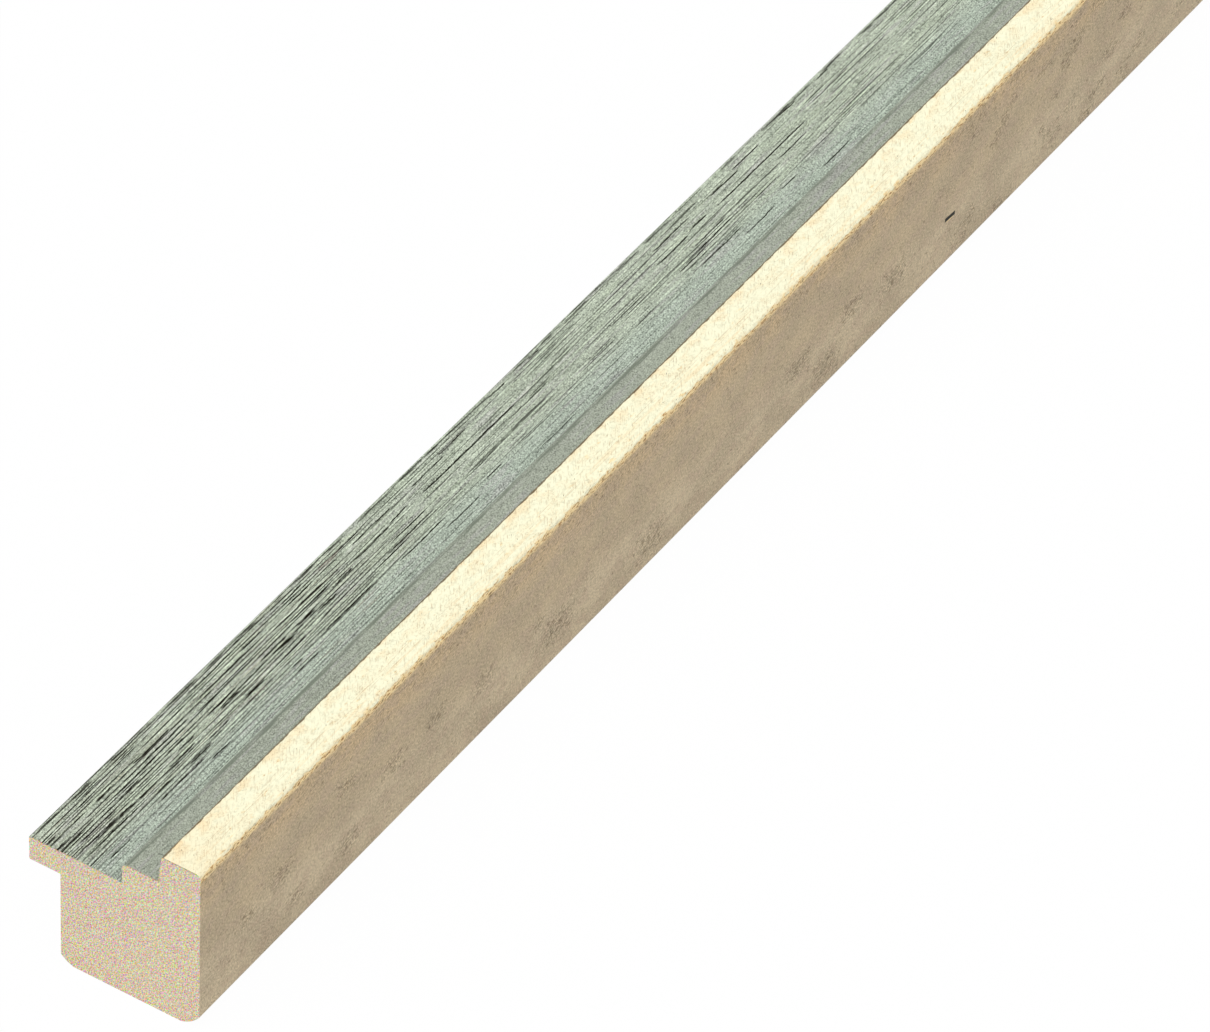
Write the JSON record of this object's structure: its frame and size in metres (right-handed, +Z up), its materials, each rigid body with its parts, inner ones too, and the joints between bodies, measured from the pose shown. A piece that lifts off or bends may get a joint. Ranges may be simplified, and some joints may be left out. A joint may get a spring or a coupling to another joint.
{
  "type": "picture frame moulding",
  "caption": "Straight stick of milled wood picture frame moulding with a rabbet, a weathered painted sight face, a grooved ledge and a raised outer band.",
  "frame": {"origin": "centre of the bounding box's bottom face: halfway across and along the stick, on the plane of its flat back", "axes": "+Y along the stick, away from the cut end that the picture shows; +X from the sight edge and its rabbet to the outer side; +Z up from the back to the decorated face"},
  "size_m": [0.025, 1, 0.0258],
  "materials": {
    "painted_wood": "satin"
  },
  "bodies": {
    "root": {"moulding": "painted_wood"}
  },
  "joints": []
}
